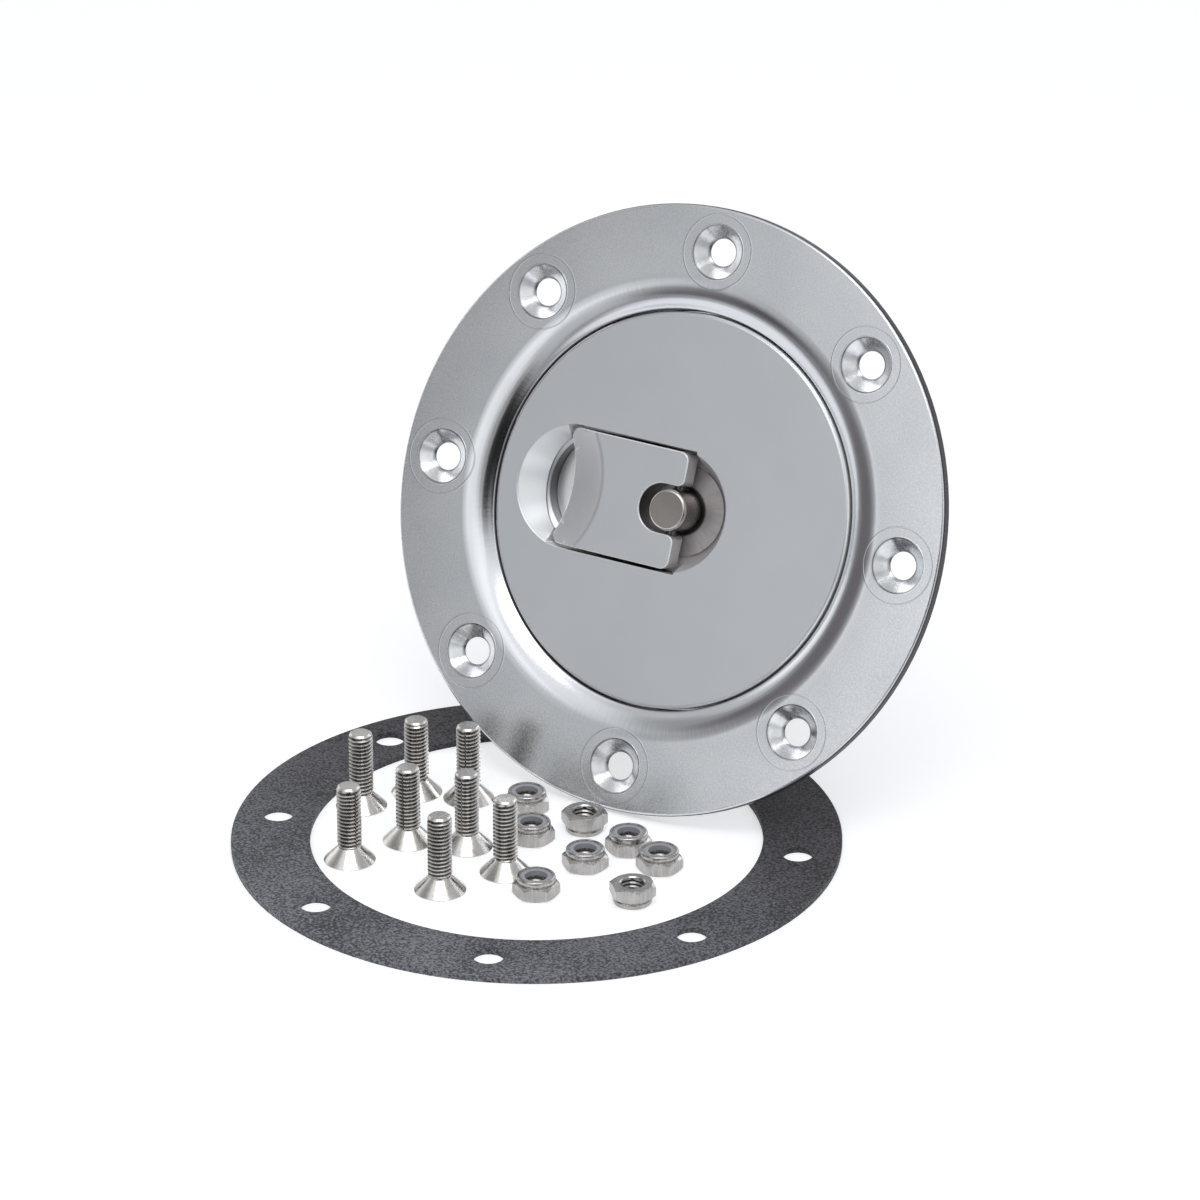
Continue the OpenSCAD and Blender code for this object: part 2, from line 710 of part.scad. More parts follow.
// Lever handle: forked round the spindle, with a cam at its nose and a thumb scoop at its finger end
module handle_lever() {
    cam_steps = 12;
    cam = [for (i = [0 : cam_steps]) cam_point(i * 90 / cam_steps)];
    ball_z = z_lid + sqrt(thumb_ball_r * thumb_ball_r - thumb_rim_r * thumb_rim_r);
    color(lid_grey) leaning() difference() {
        intersection() {
            rotate([90, 0, 0])
                linear_extrude(handle_w, center = true)
                    polygon(concat([[-handle_len, z_lid - lip_t], [-lip_start, z_pin - cam_high]], cam,
                        [[handle_nose, z_lid], [-handle_len, z_lid]]));
            translate([0, 0, z_floor])
                linear_extrude(recess_depth)
                    handle_outline();
        }
        translate([-thumb_start - thumb_rim_r, 0, ball_z])
            sphere(r = thumb_ball_r);
        translate([0, 0, z_pin])
            rotate([90, 0, 0])
                cylinder(r = pin_r + run_gap, h = handle_w + 2, center = true);
    }
}

flange_ring();
neck_tube();
panel_gasket();
flange_screws();
lock_nuts();
nut_inserts();
lid_plate();
seat_washer();
plug_body();
plug_screws();
plug_oring();
squeeze_ring();
wear_plate();
spindle_bush();
guide_pins();
return_spring();
spindle();
spindle_oring();
cross_pin();
pressure_plate();
stud_washer();
stud_nut();
stud_nut_insert();
handle_lever();
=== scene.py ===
import math

import bmesh
import bpy
from mathutils import Euler, Matrix, Vector


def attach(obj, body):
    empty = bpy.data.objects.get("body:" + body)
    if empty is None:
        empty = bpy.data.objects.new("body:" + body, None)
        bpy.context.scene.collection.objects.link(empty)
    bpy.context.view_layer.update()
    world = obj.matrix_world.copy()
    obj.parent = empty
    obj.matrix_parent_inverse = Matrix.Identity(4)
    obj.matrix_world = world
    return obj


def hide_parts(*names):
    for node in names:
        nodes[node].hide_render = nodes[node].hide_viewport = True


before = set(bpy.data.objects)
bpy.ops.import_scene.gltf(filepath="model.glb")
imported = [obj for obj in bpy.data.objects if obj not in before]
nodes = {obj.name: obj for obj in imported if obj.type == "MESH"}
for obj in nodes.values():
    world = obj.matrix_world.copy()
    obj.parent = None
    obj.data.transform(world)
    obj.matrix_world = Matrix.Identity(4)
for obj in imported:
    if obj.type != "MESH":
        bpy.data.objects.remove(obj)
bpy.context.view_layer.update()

# Viewpoint. A long lens stands a little above the cap and to its right and looks down on it, without any
# roll. Colours are shown as they are rendered.
lens_mm = 210.0
eye = Vector((0.7840, -1.3022, 0.7754))
looking = Vector((-0.4593, 0.7807, -0.4237))
camera = bpy.data.objects.new("camera", bpy.data.cameras.new("camera"))
camera.data.lens = lens_mm
camera.data.sensor_width = 36.0
camera.data.clip_start = 0.05
camera.data.clip_end = 50.0
camera.location = eye
camera.rotation_mode = "QUATERNION"
camera.rotation_quaternion = looking.to_track_quat("-Z", "Y")
bpy.context.scene.collection.objects.link(camera)
bpy.context.scene.camera = camera
bpy.context.scene.view_settings.view_transform = "Standard"


# Studio. White paper under and behind the set, one large lamp above and a weaker one in front. The room
# that the metal mirrors is pale, with dark flags to the left, at the lens and past the paper's front edge,
# and white screens high in front and at both sides. Metal also sees the paper darken towards that edge.
def link(tree, source, target):
    tree.links.new(source, target)


def feed(tree, value, socket):
    """Links an output to a socket, or sets the socket to a number, a vector or a colour."""
    if isinstance(value, bpy.types.NodeSocket):
        link(tree, value, socket)
    elif socket.type == "RGBA":
        socket.default_value = (*value, 1.0)
    else:
        socket.default_value = value


def math_node(tree, operation, *values):
    made = tree.nodes.new("ShaderNodeMath")
    made.operation = operation
    for value, socket in zip(values, made.inputs):
        feed(tree, value, socket)
    return made.outputs[0]


def vector_node(tree, operation, first, second):
    made = tree.nodes.new("ShaderNodeVectorMath")
    made.operation = operation
    feed(tree, first, made.inputs[0])
    feed(tree, second, made.inputs[1])
    return made


def product(tree, *values):
    """All the given values or masks, multiplied together."""
    total = values[0]
    for value in values[1:]:
        total = math_node(tree, "MULTIPLY", total, value)
    return total


def split_axes(tree, vector):
    """The x, y and z of a vector."""
    parts = tree.nodes.new("ShaderNodeSeparateXYZ")
    link(tree, vector, parts.inputs[0])
    return tuple(parts.outputs[axis] for axis in "XYZ")


def soft_step(tree, value, start, full, low=0.0, high=1.0):
    """Goes smoothly from low, where the value is at start, to high, where it is at full."""
    made = tree.nodes.new("ShaderNodeMapRange")
    made.interpolation_type = "SMOOTHSTEP"
    link(tree, value, made.inputs["Value"])
    for name, number in (("From Min", start), ("From Max", full), ("To Min", low), ("To Max", high)):
        made.inputs[name].default_value = number
    return made.outputs["Result"]


def blend_values(tree, factor, low, high, kind="FLOAT"):
    made = tree.nodes.new("ShaderNodeMix")
    made.data_type = kind
    for name, value in (("Factor", factor), ("A", low), ("B", high)):
        feed(tree, value, made.inputs[name])
    return made.outputs["Result"]


def blend_colours(tree, factor, low, high):
    return blend_values(tree, factor, low, high, "RGBA")


def new_finish(name, metallic=0.0):
    """An empty material: itself, its nodes and the shader that its looks are set on."""
    made = bpy.data.materials.new(name)
    made.use_nodes = True
    skin = made.node_tree.nodes["Principled BSDF"]
    skin.inputs["Metallic"].default_value = metallic
    return made, made.node_tree, skin


def set_looks(tree, skin, looks):
    """Sets or links a shader's sockets, which looks lists by their names."""
    for name, value in looks.items():
        feed(tree, value, skin.inputs[name])


world = bpy.data.worlds.new("studio")
bpy.context.scene.world = world
world.use_nodes = True
room = world.node_tree
room.nodes.clear()
seen_by = room.nodes.new("ShaderNodeLightPath").outputs
towards = room.nodes.new("ShaderNodeTexCoord").outputs["Generated"]


def room_patch(azimuth, height, near, far, amount):
    """How much a patch adds to the room's brightness, which it does in full up to the angle near.

    All angles are in degrees; the azimuth of the patch's middle runs from -Y towards +X.
    """
    azimuth, height, near, far = map(math.radians, (azimuth, height, near, far))
    middle = (math.sin(azimuth) * math.cos(height), -math.cos(azimuth) * math.cos(height), math.sin(height))
    along = vector_node(room, "DOT_PRODUCT", towards, middle).outputs["Value"]
    return soft_step(room, along, math.cos(far), math.cos(near), 0.0, amount)


def background(strength, colour):
    made = room.nodes.new("ShaderNodeBackground")
    feed(room, strength, made.inputs["Strength"])
    feed(room, colour, made.inputs["Color"])
    return made.outputs[0]


def mix_shaders(factor, first, second):
    made = room.nodes.new("ShaderNodeMixShader")
    for value, socket in zip((factor, first, second), made.inputs):
        link(room, value, socket)
    return made.outputs[0]


# The patches' azimuth, height, near and far angles and amounts
room_patches = [
    (-54, 10, 10, 32, -0.53),
    (30, 10, 13, 28, -0.74),
    (5, 58, 18, 38, 0.50),
    (-28, -14, 6, 18, -0.62),
    (-97, 11, 6, 24, 0.85),
    (-57, 42, 6, 18, -0.28),
    (62, 24, 10, 24, 0.45),
    (-21, 5, 4, 24, 0.20),
]
level = 0.74
for patch in room_patches:
    level = math_node(room, "ADD", room_patch(*patch), level)
shaded = soft_step(room, level, 0.05, 0.48)
mirrored = background(level, blend_colours(room, shaded, (0.80, 0.705, 0.755), (0.78, 0.795, 0.80)))
lit_by = background(strength=0.55, colour=(0.96, 0.98, 1.0))
seen = background(strength=1.0, colour=(1.0, 1.0, 1.0))
lit_or_mirrored = mix_shaders(seen_by["Is Glossy Ray"], lit_by, mirrored)
room_out = room.nodes.new("ShaderNodeOutputWorld")
link(room, mix_shaders(seen_by["Is Camera Ray"], lit_or_mirrored, seen), room_out.inputs[0])


def lamp(name, place, aim, wide, high, watts):
    made = bpy.data.objects.new(name, bpy.data.lights.new(name, "AREA"))
    made.data.shape = "RECTANGLE"
    made.data.size = wide
    made.data.size_y = high
    made.data.energy = watts
    made.location = place
    made.rotation_euler = (Vector(aim) - Vector(place)).to_track_quat("-Z", "Y").to_euler()
    bpy.context.scene.collection.objects.link(made)


lamp("lamp_above", (0.28, -0.38, 1.05), (0.0, 0.02, 0.03), wide=0.8, high=0.5, watts=3.6)
lamp("lamp_front", (-0.02, -0.52, 0.28), (0.02, 0.05, 0.08), wide=0.42, high=0.36, watts=0.17)

paper_front = -0.26
paper_dark_y = -0.19
paper_light_y = -0.11
paper_reach = 6.0
floor_mesh = bpy.data.meshes.new("floor")
floor_mesh.from_pydata([(-paper_reach, paper_front, 0), (paper_reach, paper_front, 0),
                        (paper_reach, paper_reach, 0), (-paper_reach, paper_reach, 0)], [], [(0, 1, 2, 3)])
floor = bpy.data.objects.new("floor", floor_mesh)
bpy.context.scene.collection.objects.link(floor)
paper, paper_tree, paper_skin = new_finish("white_paper")
paper_ray = paper_tree.nodes.new("ShaderNodeLightPath").outputs
paper_where = paper_tree.nodes.new("ShaderNodeTexCoord").outputs["Object"]
paper_near = soft_step(paper_tree, split_axes(paper_tree, paper_where)[1], paper_dark_y, paper_light_y)
glow_seen = product(paper_tree, paper_ray["Is Camera Ray"], 0.52)
glow_mirrored = product(paper_tree, paper_ray["Is Glossy Ray"], 0.34, paper_near)
tone_mirrored = blend_colours(paper_tree, paper_near, (0.30, 0.29, 0.30), (0.86, 0.88, 0.90))
set_looks(paper_tree, paper_skin, {
    "Base Color": blend_colours(paper_tree, paper_ray["Is Camera Ray"], tone_mirrored, (0.73, 0.75, 0.78)),
    "Roughness": 0.55,
    "Specular IOR Level": 0.25,
    "Emission Color": (1.0, 1.0, 1.0),
    "Emission Strength": math_node(paper_tree, "ADD", glow_seen, glow_mirrored)})
floor_mesh.materials.append(paper)

# Flange. Turned from aluminium plate: a flat rim with eight bright countersunk holes, a dish rolled down
# to the lid, and the seat and sealing bore behind it. It is satin brushed and anodised clear, with a fine
# pressed line round each hole. Its outer wall and its mouth's wall are in shade, painted on them as dark
# tones.
lean = math.radians(22.65)
flange_r = 0.075
flange_thick = 0.0034
back_edge_break = 0.0003
flange_x_place = 0.0072
flange_y_place = 0.0498
flange_lift = flange_r * math.cos(lean) + (flange_thick - back_edge_break) * math.sin(lean)
flange_place = Vector((flange_x_place, flange_y_place, flange_lift))
flange_turn = Euler((math.radians(90) - lean, 0.0, 0.0))
cap_frame = Matrix.Translation(flange_place) @ flange_turn.to_matrix().to_4x4()
into_cap = cap_frame.inverted()
bolt_circle_r = 0.06425
hole_count = 8
hole_step = 2 * math.pi / hole_count


def distance_node(tree, x, y):
    """How far (x, y) is from the origin."""
    return math_node(tree, "SQRT", math_node(tree, "ADD", product(tree, x, x), product(tree, y, y)))


def mask(tree, *steps):
    """One where all the steps are passed and else zero; each step is (value, start, full)."""
    return product(tree, *(soft_step(tree, *step) for step in steps))


def new_group(kind, name, inputs, outputs):
    """An empty node group with named sockets: the group, its input node and its output node."""
    tree = bpy.data.node_groups.new(name, kind)
    for label, socket_kind in inputs:
        tree.interface.new_socket(name=label, in_out="INPUT", socket_type=socket_kind)
    for label, socket_kind in outputs:
        tree.interface.new_socket(name=label, in_out="OUTPUT", socket_type=socket_kind)
    return tree, tree.nodes.new("NodeGroupInput"), tree.nodes.new("NodeGroupOutput")


def noise_node(tree, vector, scale, detail, roughness=0.5):
    made = tree.nodes.new("ShaderNodeTexNoise")
    for name, value in (("Vector", vector), ("Scale", scale), ("Detail", detail), ("Roughness", roughness)):
        feed(tree, value, made.inputs[name])
    return made.outputs["Fac"]


grain_tree, grain_in, grain_out = new_group(
    "ShaderNodeTree", "metal_grain",
    [("Vector", "NodeSocketVector"), ("Fine Scale", "NodeSocketFloat"),
     ("Stretch", "NodeSocketVector"), ("Cloud Scale", "NodeSocketFloat")],
    [("Grain", "NodeSocketFloat"), ("Cloud", "NodeSocketFloat")])
grain_where = grain_in.outputs["Vector"]
grain_stretched = vector_node(grain_tree, "MULTIPLY", grain_where, grain_in.outputs["Stretch"]).outputs[0]
grain_fine = noise_node(grain_tree, grain_stretched, grain_in.outputs["Fine Scale"], 4.0, 0.62)
grain_cloud = noise_node(grain_tree, grain_where, grain_in.outputs["Cloud Scale"], 3.0)
link(grain_tree, grain_fine, grain_out.inputs["Grain"])
link(grain_tree, grain_cloud, grain_out.inputs["Cloud"])


def cap_coordinates(tree):
    """Places on the leaning cap: x to its right, y up it and z out of it, from the flange's face."""
    where = tree.nodes.new("ShaderNodeTexCoord")
    turned = tree.nodes.new("ShaderNodeMapping")
    turned.vector_type = "TEXTURE"
    turned.inputs["Location"].default_value = flange_place
    turned.inputs["Rotation"].default_value = flange_turn
    link(tree, where.outputs["Object"], turned.inputs["Vector"])
    return turned.outputs["Vector"]


def grain_node(tree, vector, fine, stretch, cloud):
    """Fine grain, drawn out by stretch, and the slow cloud under it."""
    made = tree.nodes.new("ShaderNodeGroup")
    made.node_tree = grain_tree
    link(tree, vector, made.inputs["Vector"])
    made.inputs["Fine Scale"].default_value = fine
    made.inputs["Stretch"].default_value = stretch
    made.inputs["Cloud Scale"].default_value = cloud
    return made.outputs["Grain"], made.outputs["Cloud"]


noise_low = 0.3
noise_high = 0.7


def clouded(tree, cloud, dark, light):
    """A colour that drifts between two tones with the cloud."""
    return blend_colours(tree, soft_step(tree, cloud, noise_low, noise_high), dark, light)


def grained(tree, grain, low, high):
    """A value that follows the grain."""
    return soft_step(tree, grain, noise_low, noise_high, low, high)


def painted(tree, tone, *coats):
    """A colour with coats laid over it in turn; each is (mask, colour)."""
    for covers, colour in coats:
        tone = blend_colours(tree, covers, tone, colour)
    return tone


def bumped(tree, skin, height, strength, depth):
    made = tree.nodes.new("ShaderNodeBump")
    made.inputs["Strength"].default_value = strength
    made.inputs["Distance"].default_value = depth
    link(tree, height, made.inputs["Height"])
    link(tree, made.outputs["Normal"], skin.inputs["Normal"])


def as_modified(made):
    """Swaps an object's mesh for the one that its modifiers make."""
    bpy.context.view_layer.update()
    result = bpy.data.meshes.new_from_object(made.evaluated_get(bpy.context.evaluated_depsgraph_get()))
    made.modifiers.clear()
    made.data = result
    return made


def mark_edges(work, sharp):
    """Smooths every face, and marks as sharp the open edges and those that turn by sharp degrees."""
    for face in work.faces:
        face.smooth = True
    for edge in work.edges:
        edge.smooth = len(edge.link_faces) == 2 and edge.calc_face_angle(0.0) < math.radians(sharp)


def smoothed_copy(node, name, material, bevel, without=None, edge_finish=None):
    """The same shape as a CAD node with its faces joined up, its edges broken and its flats kept flat."""
    sharp = 24.0
    weld = 2e-6
    sliver = 1e-6
    level = math.radians(0.06)
    mesh = nodes[node].data.copy()
    mesh.name = name
    work = bmesh.new()
    work.from_mesh(mesh)
    bmesh.ops.remove_doubles(work, verts=work.verts, dist=weld)
    bmesh.ops.dissolve_degenerate(work, dist=sliver, edges=work.edges)
    bmesh.ops.dissolve_limit(work, angle_limit=level, verts=work.verts, edges=work.edges)
    if without is not None:
        cut = [face for face in work.faces if without(face)]
        bmesh.ops.delete(work, geom=cut, context="FACES")
    mark_edges(work, sharp)
    work.to_mesh(mesh)
    work.free()
    mesh.materials.clear()
    mesh.materials.append(material)
    made = bpy.data.objects.new(name, mesh)
    bpy.context.scene.collection.objects.link(made)
    if "custom_normal" in mesh.attributes:
        mesh.attributes.remove(mesh.attributes["custom_normal"])
    chamfer = made.modifiers.new("broken_edges", "BEVEL")
    chamfer.width = bevel
    chamfer.segments = 2
    chamfer.limit_method = "ANGLE"
    chamfer.angle_limit = math.radians(sharp)
    chamfer.use_clamp_overlap = edge_finish is None
    if edge_finish is not None:
        mesh.materials.append(edge_finish)
        chamfer.material = 1
    even = made.modifiers.new("flat_faces", "WEIGHTED_NORMAL")
    even.keep_sharp = True
    even.mode = "FACE_AREA_WITH_ANGLE"
    return as_modified(made)


def turning_marks(tree, x, y, lines):
    """Fine uneven streaks that fan out from the axis, as spun or worn metal has."""
    breaks_per_metre = 160.0
    fanned = tree.nodes.new("ShaderNodeCombineXYZ")
    link(tree, product(tree, math_node(tree, "ARCTAN2", y, x), lines), fanned.inputs["X"])
    link(tree, product(tree, distance_node(tree, x, y), breaks_per_metre), fanned.inputs["Y"])
    return soft_step(tree, noise_node(tree, fanned.outputs[0], 1.0, 5.0, 0.6), 0.32, 0.68)


flange_metal, flange_tree, flange_skin = new_finish("satin_anodised_flange", 1.0)
flange_axes = cap_coordinates(flange_tree)
flange_x, flange_y, flange_z = split_axes(flange_tree, flange_axes)
flange_radius = distance_node(flange_tree, flange_x, flange_y)
hole_turn = math_node(flange_tree, "PINGPONG", math_node(
    flange_tree, "ADD", math_node(flange_tree, "ARCTAN2", flange_y, flange_x), 2 * math.pi), hole_step / 2)
hole_across = product(flange_tree, flange_radius, math_node(flange_tree, "SINE", hole_turn))
hole_along = math_node(flange_tree, "SUBTRACT", product(
    flange_tree, flange_radius, math_node(flange_tree, "COSINE", hole_turn)), bolt_circle_r)
hole_distance = distance_node(flange_tree, hole_across, hole_along)
flange_grain, flange_cloud = grain_node(flange_tree, flange_axes, 2100.0, (1.0, 1.0, 1.0), 45.0)
# Radii and heights where a tone starts and where it is full
side_wall_r = (flange_r - 0.0004, flange_r - 0.0002)
side_wall_z = (-0.00054, -0.00068)
mouth_wall_r = (0.0495, 0.0493)
mouth_top_z = (-0.0024, -0.0027)
mouth_foot_z = (-0.0080, -0.0060)
line_inside = (0.00905, 0.00920)
line_outside = (0.00950, 0.00935)
front_z = (-0.0020, -0.0015)
rim_r = (0.0565, 0.0590)
dish_r = (0.0585, 0.0560)
side_wall_shade = mask(flange_tree, (flange_radius, *side_wall_r), (flange_z, *side_wall_z))
mouth_wall_shade = mask(flange_tree, (flange_radius, *mouth_wall_r), (flange_z, *mouth_top_z),
                  (flange_z, *mouth_foot_z))
pressed_line = mask(flange_tree, (hole_distance, *line_inside), (hole_distance, *line_outside),
                    (flange_z, *front_z))
on_rim = soft_step(flange_tree, flange_radius, *rim_r)
in_dish = soft_step(flange_tree, flange_radius, *dish_r)
# The outer wall and the mouth's wall are painted dark as shade, and are made less metallic and less shiny
# there.
flange_tone = painted(
    flange_tree, clouded(flange_tree, flange_cloud, (0.70, 0.715, 0.745), (0.76, 0.772, 0.80)),
    (side_wall_shade, (0.065, 0.06, 0.067)), (mouth_wall_shade, (0.15, 0.145, 0.16)),
    (product(flange_tree, pressed_line, 0.3), (0.45, 0.455, 0.47)))
shaded_walls = math_node(flange_tree, "ADD", side_wall_shade, mouth_wall_shade)
set_looks(flange_tree, flange_skin, {
    "Base Color": flange_tone,
    "Metallic": soft_step(flange_tree, shaded_walls, 0.0, 1.0, 1.0, 0.35),
    "Specular IOR Level": soft_step(flange_tree, side_wall_shade, 0.0, 1.0, 0.5, 0.12),
    "Roughness": blend_values(flange_tree, on_rim, 0.17, grained(flange_tree, flange_grain, 0.24, 0.34))})
grain_relief = product(flange_tree, flange_grain, soft_step(flange_tree, on_rim, 0.0, 1.0, 0.08, 0.6))
line_relief = product(flange_tree, pressed_line, 1.6)
spun_marks = product(flange_tree, in_dish, turning_marks(flange_tree, flange_x, flange_y, 70.0))
flange_relief = math_node(flange_tree, "ADD", math_node(flange_tree, "ADD", grain_relief, line_relief),
                          product(flange_tree, spun_marks, 0.22))
bumped(flange_tree, flange_skin, flange_relief, 0.34, 0.00005)


def in_countersink(face):
    """True for the faces inside the eight holes, which the polished countersinks take the place of."""
    mouth, bore, bore_top, level_face = 0.00675, 0.0042, -0.0033, 0.98
    spot = into_cap @ face.calc_center_median()
    turn = round(math.atan2(spot.y, spot.x) / hole_step) * hole_step
    away = math.hypot(spot.x - bolt_circle_r * math.cos(turn), spot.y - bolt_circle_r * math.sin(turn))
    tilt = abs((into_cap.to_3x3() @ face.normal).z)
    return away < mouth and tilt < level_face or away < bore and spot.z > bore_top


flange = smoothed_copy("flange_ring", "flange_ring_satin", flange_metal, bevel=0.00018,
                       without=in_countersink)
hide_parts("flange_ring")
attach(flange, "housing")

# Countersinks. Each hole is cut with a polished cone and has a fine raised burr round its mouth. They
# are made once, spread round the bolt circle, and then leant back with the flange.
def ring_mesh(name, rows, sides, material, painted_shade=None):
    """A skin through rows of points, each row a function of the angle that gives (radius, height).

    The last argument, a function of radius and height, says how much painted shade darkens each point.
    """
    points = []
    for row in rows:
        for i in range(sides):
            angle = 2 * math.pi * i / sides
            radius, height = row(angle)
            points.append((radius * math.cos(angle), radius * math.sin(angle), height))
    faces = [(a * sides + i, a * sides + (i + 1) % sides, (a + 1) * sides + (i + 1) % sides,
              (a + 1) * sides + i) for a in range(len(rows) - 1) for i in range(sides)]
    mesh = bpy.data.meshes.new(name)
    mesh.from_pydata(points, [], faces)
    work = bmesh.new()
    work.from_mesh(mesh)
    weld = 1e-7
    bmesh.ops.remove_doubles(work, verts=work.verts, dist=weld)
    bmesh.ops.dissolve_degenerate(work, dist=weld, edges=work.edges)
    bmesh.ops.recalc_face_normals(work, faces=work.faces)
    mark_edges(work, sharp=26.0)
    work.to_mesh(mesh)
    work.free()
    if painted_shade is not None:
        dark = mesh.attributes.new("painted_shade", "FLOAT", "POINT")
        for vertex in mesh.vertices:
            dark.data[vertex.index].value = painted_shade(math.hypot(vertex.co.x, vertex.co.y), vertex.co.z)
    mesh.materials.append(material)
    made = bpy.data.objects.new(name, mesh)
    bpy.context.scene.collection.objects.link(made)
    return made


def fixed(radius, height):
    return lambda angle: (radius, height)


spread, spread_in, spread_out = new_group(
    "GeometryNodeTree", "loose_pieces",
    [("Places", "NodeSocketGeometry"), ("Piece", "NodeSocketObject"),
     ("Finish", "NodeSocketMaterial"), ("Wobble", "NodeSocketFloat")],
    [("Pieces", "NodeSocketGeometry")])


def spread_node(kind, **inputs):
    made = spread.nodes.new(kind)
    for name, value in inputs.items():
        feed(spread, value, made.inputs[name])
    return made


def point_value(name):
    """What each point of the places holds under a name."""
    made = spread_node("GeometryNodeInputNamedAttribute")
    made.data_type = "FLOAT"
    made.inputs["Name"].default_value = name
    return made.outputs["Attribute"]


wobble = spread_node("FunctionNodeRandomValue", Seed=11)
wobble.data_type = "FLOAT"
link(spread, spread_in.outputs["Wobble"], wobble.inputs[3])
copied = spread_node("GeometryNodeObjectInfo", Object=spread_in.outputs["Piece"])
turned_by = math_node(spread, "ADD", point_value("turn"), wobble.outputs[1])
rotation = spread_node("ShaderNodeCombineXYZ", X=point_value("flip"), Z=turned_by)
placed = spread_node("GeometryNodeInstanceOnPoints", Points=spread_in.outputs["Places"],
                     Instance=copied.outputs["Geometry"], Rotation=rotation.outputs[0])
realised = spread_node("GeometryNodeRealizeInstances", Geometry=placed.outputs["Instances"])
finished = spread_node("GeometryNodeSetMaterial", Geometry=realised.outputs["Geometry"],
                       Material=spread_in.outputs["Finish"])
link(spread, finished.outputs["Geometry"], spread_out.inputs["Pieces"])


def spread_pieces(name, spots, piece, material, wobble_to=0.0):
    """Copies of one piece at (x, y, z, turn, flip) spots, as one plain mesh; the piece itself goes."""
    mesh = bpy.data.meshes.new(name)
    mesh.from_pydata([spot[:3] for spot in spots], [], [])
    for label, column in (("turn", 3), ("flip", 4)):
        values = mesh.attributes.new(label, "FLOAT", "POINT")
        for i, spot in enumerate(spots):
            values.data[i].value = spot[column]
    made = bpy.data.objects.new(name, mesh)
    bpy.context.scene.collection.objects.link(made)
    spreader = made.modifiers.new("spread", "NODES")
    spreader.node_group = spread
    for label, value in (("Piece", piece), ("Finish", material), ("Wobble", wobble_to)):
        spreader[spread.interface.items_tree[label].identifier] = value
    as_modified(made)
    bpy.data.objects.remove(piece)
    return made


def face_height(radius):
    """Height of the gently domed face at a distance from the cap's axis."""
    dome_starts, dome_width, dome_drop = 0.0572, 0.0173, 0.0003
    return -dome_drop * (max(0.0, radius - dome_starts) / dome_width) ** 2


def mouth_row(reach, lift):
    """A row round a hole's mouth, which follows the flange's face."""
    def row(angle):
        there = math.hypot(bolt_circle_r + reach * math.cos(angle), reach * math.sin(angle))
        return reach, face_height(there) + lift
    return row


def tone_under_painted_shade(tree, tone, shade_colour):
    """A metal's colour, darkened towards a second colour by the painted shade that the mesh holds."""
    marked = tree.nodes.new("ShaderNodeAttribute")
    marked.attribute_name = "painted_shade"
    return blend_colours(tree, marked.outputs["Fac"], tone, shade_colour)


sink_metal, sink_tree, sink_skin = new_finish("polished_countersink", 1.0)
sink_grain, sink_cloud = grain_node(sink_tree, cap_coordinates(sink_tree), 1400.0, (1.0, 1.0, 0.1), 160.0)
sink_tone = clouded(sink_tree, sink_cloud, (0.66, 0.67, 0.69), (0.88, 0.89, 0.91))
# The countersinks carry painted shade in the groove inside the burr and at the hole's edge.
set_looks(sink_tree, sink_skin, {"Base Color": tone_under_painted_shade(sink_tree, sink_tone, (0.10, 0.10, 0.11)),
                                 "Roughness": grained(sink_tree, sink_grain, 0.18, 0.28)})
bumped(sink_tree, sink_skin, sink_grain, 0.2, 0.00004)


def sink_painted_shade(radius, height):
    """Painted shade in the groove inside the burr, and where the cone meets the hole."""
    groove_inner, groove_outer, hole_edge = 0.0065, 0.0069, 0.0040
    return 0.85 if groove_inner < radius < groove_outer else 0.6 if radius < hole_edge else 0.0


one_sink = ring_mesh("one_countersink", [
    mouth_row(0.00722, -0.00006), mouth_row(0.00712, 0.00002), mouth_row(0.00696, 0.00004),
    mouth_row(0.00680, 0.00001), mouth_row(0.00668, -0.00010), mouth_row(0.00640, -0.00038),
    fixed(0.00420, -0.00261), fixed(0.00378, -0.00304), fixed(0.00346, -0.00325),
    fixed(0.00340, -0.00342)], 72, sink_metal, sink_painted_shade)
sinks = spread_pieces("countersinks_polished", [
    (bolt_circle_r * math.cos(k * hole_step), bolt_circle_r * math.sin(k * hole_step), 0.0,
     k * hole_step, 0.0) for k in range(hole_count)], one_sink, sink_metal)
sinks.data.transform(cap_frame)
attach(sinks, "housing")

# Hose neck. A turned aluminium tube, set in the ledge behind the flange. A hose is pushed over its free
# end and clamped there.
def plain_metal(name, dark, light, rough_low, rough_high, fine, stretch, bump):
    """A metal whose colour and gloss vary with its grain; its pattern follows the cap."""
    made, tree, skin = new_finish(name, 1.0)
    grain, cloud = grain_node(tree, cap_coordinates(tree), fine, stretch, 60.0)
    set_looks(tree, skin, {"Base Color": clouded(tree, cloud, dark, light),
                           "Roughness": grained(tree, grain, rough_low, rough_high)})
    bumped(tree, skin, grain, bump, 0.00004)
    return made


def finish_node(node, material):
    """Gives a CAD node its finish."""
    mesh = nodes[node].data
    mesh.materials.clear()
    mesh.materials.append(material)


neck_metal = plain_metal("turned_neck", (0.58, 0.585, 0.60), (0.66, 0.665, 0.68), 0.26, 0.36, 900.0,
                         (1.0, 1.0, 0.1), 0.25)
finish_node("neck_tube", neck_metal)
